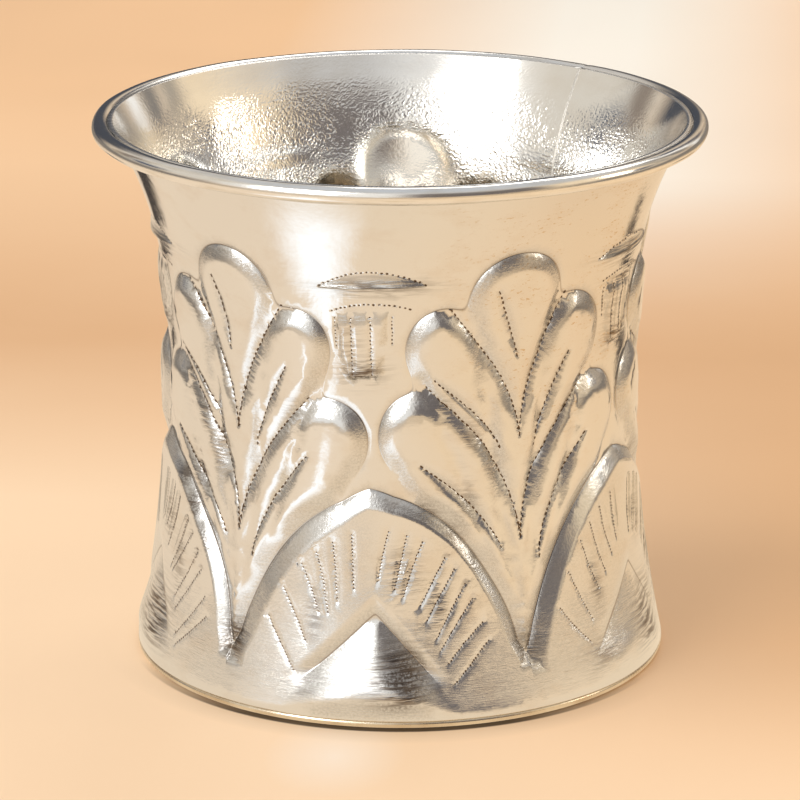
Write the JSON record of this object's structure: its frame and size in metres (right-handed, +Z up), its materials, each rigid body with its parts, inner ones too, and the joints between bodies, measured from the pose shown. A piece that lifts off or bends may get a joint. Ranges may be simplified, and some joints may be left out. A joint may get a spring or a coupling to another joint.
{
  "type": "panchpatra",
  "caption": "Small waisted ritual water cup of soldered silver sheet, with a wire round its flared lip, a flat base and a repoussé wall of arches and palmettes.",
  "frame": {"origin": "centre of the base plate's underside, on the table", "axes": "+Z up along the cup's axis, -Y towards the front arch, the side seam at the back right"},
  "size_m": [0.075, 0.075, 0.0673],
  "materials": {
    "wall_silver": "polished, with brushing and light tarnish",
    "wire_silver": "polished",
    "base_silver": "satin, worn",
    "solder": "dull, slightly tarnished"
  },
  "bodies": {
    "root": {"side_wall": "wall_silver", "seam_solder": "solder", "rim_wire": "wire_silver", "rim_solder": "solder", "base_plate": "base_silver", "base_solder": "solder"}
  },
  "joints": []
}
